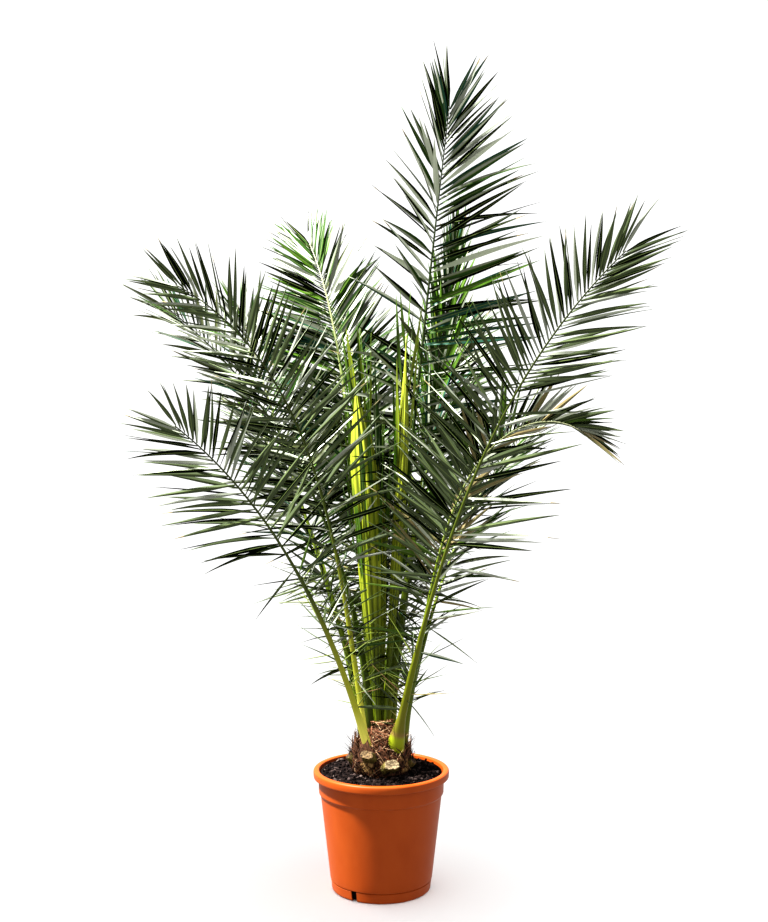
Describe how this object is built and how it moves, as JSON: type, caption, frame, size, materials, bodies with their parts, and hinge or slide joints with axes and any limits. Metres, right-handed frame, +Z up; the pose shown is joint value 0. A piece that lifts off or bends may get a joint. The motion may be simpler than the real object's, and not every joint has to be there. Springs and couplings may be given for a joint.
{
  "type": "potted date palm tree",
  "caption": "Young feather-leaved date palm with arching fronds, furled spear leaves and a fibrous trunk, growing in a round tapered grower's pot.",
  "frame": {"origin": "centre of the pot's flat underside, where the plant stands", "axes": "+Z up along the trunk; -Y faces the side the palm is usually seen from; +X to the right from there"},
  "size_m": [1.1801, 1.4175, 2.0642],
  "materials": {
    "pot": "satin",
    "soil": "matte",
    "trunk": "matte",
    "stub": "matte",
    "stalk": "satin",
    "spear": "satin",
    "blade": "satin"
  },
  "bodies": {
    "root": {"frond_back_left_blade": "blade", "frond_back_left_stalk": "stalk", "frond_back_low_blade": "blade", "frond_back_low_stalk": "stalk", "frond_back_right_blade": "blade", "frond_back_right_stalk": "stalk", "frond_back_upper_blade": "blade", "frond_back_upper_stalk": "stalk", "frond_front_left_blade": "blade", "frond_front_left_stalk": "stalk", "frond_front_right_blade": "blade", "frond_front_right_stalk": "stalk", "frond_left_arching_blade": "blade", "frond_left_arching_stalk": "stalk", "frond_left_arching_tip": "blade", "frond_left_behind_blade": "blade", "frond_left_behind_stalk": "stalk", "frond_left_low_blade": "blade", "frond_left_low_stalk": "stalk", "frond_left_upper_blade": "blade", "frond_left_upper_stalk": "stalk", "frond_right_arching_blade": "blade", "frond_right_arching_stalk": "stalk", "frond_right_arching_tip": "blade", "frond_right_low_blade": "blade", "frond_right_low_stalk": "stalk", "frond_tall_blade": "blade", "frond_tall_stalk": "stalk", "frond_young_blade": "blade", "frond_young_stalk": "stalk", "pot": "pot", "soil": "soil", "spear_centre": "spear", "spear_left": "spear", "spear_right": "spear", "stub_back": "stub", "stub_back_right": "stub", "stub_front": "stub", "stub_front_left": "stub", "stub_left": "stub", "stub_right": "stub", "trunk": "trunk"}
  },
  "joints": []
}
